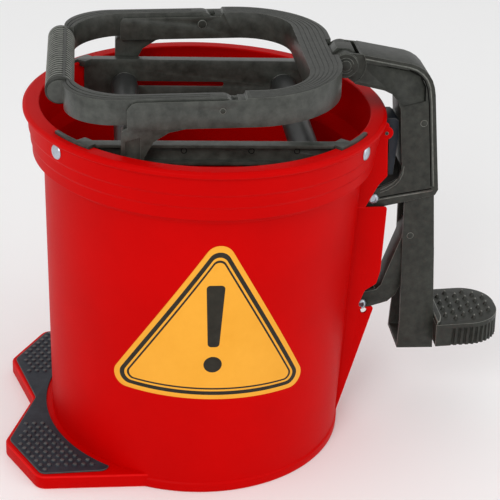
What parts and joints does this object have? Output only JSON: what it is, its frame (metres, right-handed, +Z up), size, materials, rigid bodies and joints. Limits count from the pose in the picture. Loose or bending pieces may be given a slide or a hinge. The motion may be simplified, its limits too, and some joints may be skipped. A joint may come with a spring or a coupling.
{
  "type": "wringer mop bucket",
  "caption": "Round mop bucket with a foot-operated roller wringer: sliding press loop, bail handle, C-shaped lever, pedal linkage and toe pad.",
  "frame": {"origin": "pail's axis at floor level, the centre of its base", "axes": "+X towards the foot pedal, +Y to the rear crossbar, +Z up"},
  "size_m": [0.4545, 0.3098, 0.363],
  "materials": {
    "red_plastic": "moulded, lightly polished",
    "black_plastic": "moulded, satin, slightly mottled",
    "roller_plastic": "smooth satin",
    "bush_nylon": "natural",
    "tread_rubber": "studded",
    "zinc_steel": "zinc plated",
    "sticker_film": "printed film"
  },
  "bodies": {
    "base": {"bucket": "red_plastic", "foot_tread_pad": "tread_rubber", "hazard_label": "sticker_film", "front_crossbar": "black_plastic", "rear_crossbar": "black_plastic", "crossbar_rivets": "zinc_steel", "fixed_roller_axle": "zinc_steel", "fixed_axle_nuts": "zinc_steel", "arm_pivot_bolt": "zinc_steel", "link_pivot_bolt": "zinc_steel", "return_spring": "zinc_steel", "stop_bumper": "tread_rubber", "bumper_pin": "black_plastic"},
    "fixed_roller_set": {"fixed_roller": "roller_plastic", "fixed_roller_bushes": "bush_nylon"},
    "frame": {"press_frame": "black_plastic", "handle_pivot_pins": "black_plastic", "moving_roller_axle": "zinc_steel", "moving_axle_nuts": "zinc_steel", "slide_washers": "bush_nylon"},
    "moving_roller_set": {"moving_roller": "roller_plastic", "moving_roller_bushes": "bush_nylon"},
    "handle": {"carry_handle": "black_plastic", "handle_grip": "black_plastic"},
    "arm": {"press_arm": "black_plastic", "hub_pin": "black_plastic", "bar_top_pin": "black_plastic"},
    "bar": {"pedal_bar": "black_plastic", "foot_pedal": "black_plastic", "pedal_screws": "zinc_steel", "bar_link_pin": "black_plastic"},
    "link": {"lower_link": "black_plastic"}
  },
  "joints": [
    {"name": "arm_swing", "type": "hinge", "parent": "base", "child": "arm", "pos_m": [0.1492, 0, 0.2283], "axis": [0, 1, 0], "range_deg": [0, 40], "stiffness_Nm_per_rad": 0.6, "springref_deg": -57.3},
    {"name": "frame_slide", "type": "slide", "parent": "base", "child": "frame", "axis": [1, 0, 0], "range_m": [0, 0.0875]},
    {"name": "bar_hang", "type": "hinge", "parent": "arm", "child": "bar", "pos_m": [0.1877, 0, 0.2995], "axis": [0, 1, 0], "range_deg": [-40.1, 0]},
    {"name": "link_swing", "type": "hinge", "parent": "base", "child": "link", "pos_m": [0.149, 0, 0.1182], "axis": [0, 1, 0], "range_deg": [0, 40.1]},
    {"name": "handle_lift", "type": "hinge", "parent": "frame", "child": "handle", "pos_m": [0.003, 0, 0.3475], "axis": [0, 1, 0], "range_deg": [0, 95]},
    {"name": "fixed_roller_spin", "type": "hinge", "parent": "base", "child": "fixed_roller_set", "pos_m": [0.0792, 0, 0.291], "axis": [0, 1, 0], "continuous": true},
    {"name": "moving_roller_spin", "type": "hinge", "parent": "frame", "child": "moving_roller_set", "pos_m": [-0.0666, 0, 0.291], "axis": [0, 1, 0], "continuous": true}
  ],
  "couplings": [
    {"joint": "frame_slide", "follows": "arm_swing", "m_per_rad": 0.125},
    {"joint": "bar_hang", "follows": "arm_swing", "ratio": -1},
    {"joint": "link_swing", "follows": "arm_swing", "ratio": 1}
  ]
}
